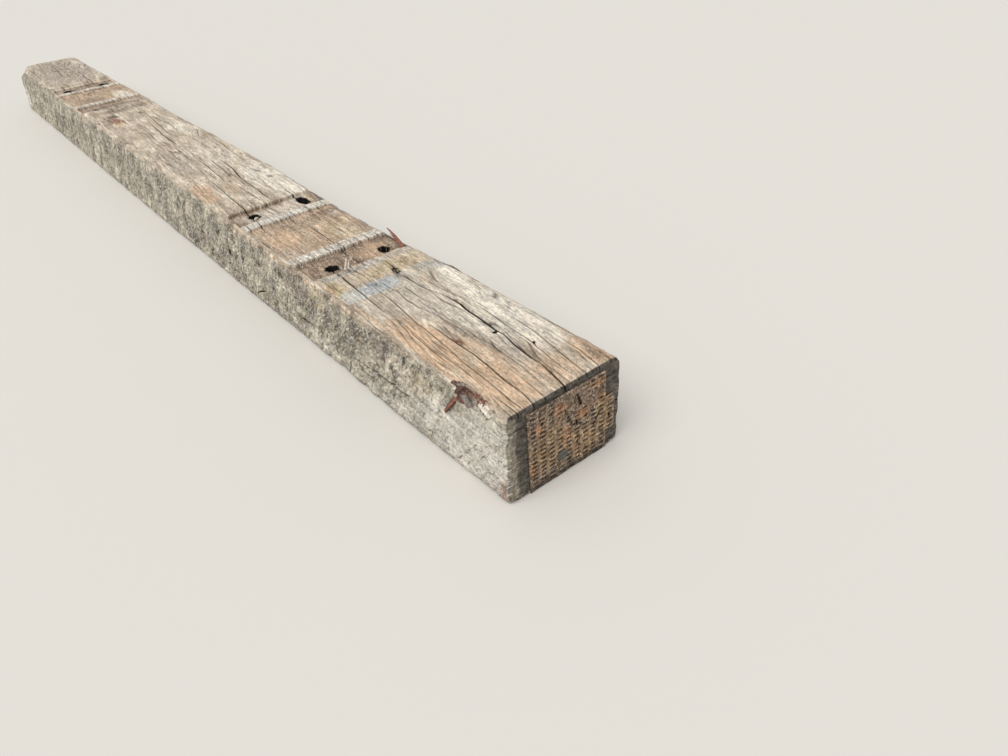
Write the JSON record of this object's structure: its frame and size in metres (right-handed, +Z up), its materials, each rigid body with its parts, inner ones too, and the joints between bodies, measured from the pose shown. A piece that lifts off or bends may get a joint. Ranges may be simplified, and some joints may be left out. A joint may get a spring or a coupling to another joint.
{
  "type": "railway sleeper",
  "caption": "Used oak railway sleeper with planed rail seats, screw bores and toothed plates pressed into its ends.",
  "frame": {"origin": "middle of the underside", "axes": "+X along the sleeper to the end with the nail and the plate that has lost corners, +Y across it, +Z up from the underside to the rail seats"},
  "size_m": [2.9612, 0.21, 0.152],
  "materials": {
    "weathered_oak": "weathered grey brown, checked",
    "rusted_plate": "rusted, pressed",
    "grey_nail": "dull zinc grey"
  },
  "bodies": {
    "root": {"sleeper_timber": "weathered_oak", "near_end_plate": "rusted_plate", "far_end_plate": "rusted_plate", "round_head_nail": "grey_nail"}
  },
  "joints": []
}
